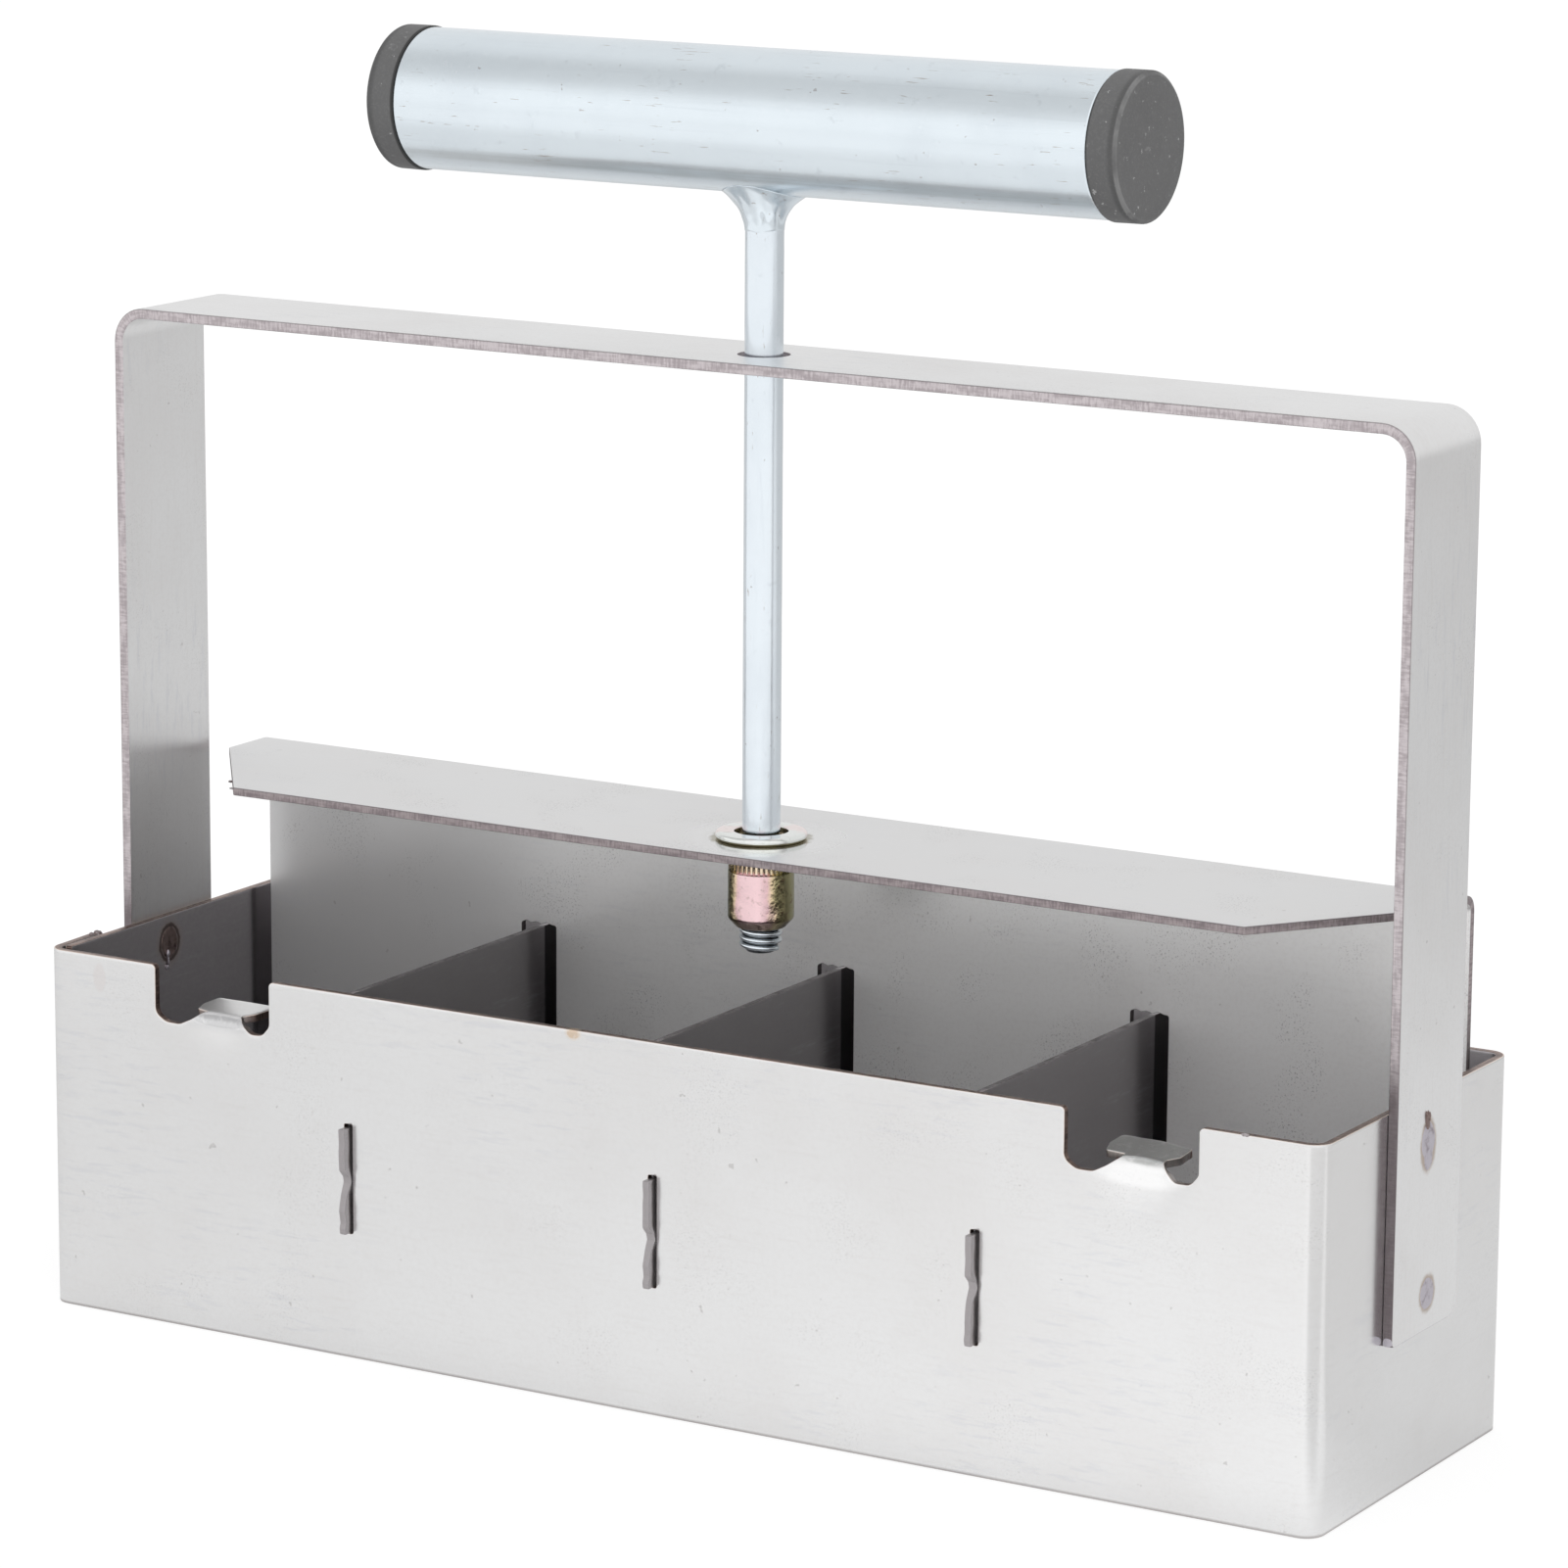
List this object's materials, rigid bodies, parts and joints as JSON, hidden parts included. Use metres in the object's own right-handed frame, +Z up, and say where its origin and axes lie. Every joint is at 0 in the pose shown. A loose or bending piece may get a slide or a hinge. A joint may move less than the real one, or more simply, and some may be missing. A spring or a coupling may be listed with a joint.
{
  "type": "hand soil blocker",
  "caption": "Hand soil blocker with a row of open-bottomed square cells, a flat carrying strap and a T-handled plunger that pushes the pressed blocks out.",
  "frame": {"origin": "middle of the mould's base, at the height of its lower rim", "axes": "+X along the row of cells, +Y from the notched front wall to the rear wall, +Z up along the plunger"},
  "size_m": [0.2086, 0.061, 0.1876],
  "materials": {
    "mould_sheet": "bare rolled sheet, satin, faint rolling lines and stains",
    "tack_metal": "rough weld tack",
    "divider_sheet": "bare rolled sheet, darker, satin",
    "strap_steel": "bright flat bar, soft sheen, brown-tinted cut edges",
    "weld_metal": "weld spot with heat tint",
    "ejector_sheet": "bare rolled sheet, satin",
    "pin_steel": "turned steel, satin",
    "screw_steel": "zinc plated",
    "nut_yellow_zinc": "yellow iridescent zinc",
    "rod_zinc": "bluish zinc, glossy",
    "bead_zinc": "bluish zinc over a weld bead",
    "tube_zinc": "bluish zinc, satin, fine specks",
    "cap_rubber": "matte dark grey rubber"
  },
  "bodies": {
    "mould": {"mould_sleeve": "mould_sheet", "seam_tacks": "tack_metal", "divider_left": "divider_sheet", "divider_centre": "divider_sheet", "divider_right": "divider_sheet", "carrying_strap": "strap_steel", "strap_welds_left": "weld_metal", "strap_welds_right": "weld_metal"},
    "ejector": {"ejector_frame": "ejector_sheet", "seed_pin_1": "pin_steel", "seed_pin_2": "pin_steel", "seed_pin_3": "pin_steel", "seed_pin_4": "pin_steel", "pin_screws": "screw_steel", "rivet_nut": "nut_yellow_zinc"},
    "handle": {"plunger_rod": "rod_zinc", "handle_weld": "bead_zinc", "handle_tube": "tube_zinc", "end_cap_left": "cap_rubber", "end_cap_right": "cap_rubber"}
  },
  "joints": [
    {"name": "ejector_slide", "type": "slide", "parent": "mould", "child": "ejector", "axis": [0, 0, 1], "range_m": [0, 0.0375]},
    {"name": "handle_turn", "type": "hinge", "parent": "ejector", "child": "handle", "pos_m": [0, 0, 0.1], "axis": [0, 0, 1], "range_deg": [-180, 180]}
  ]
}
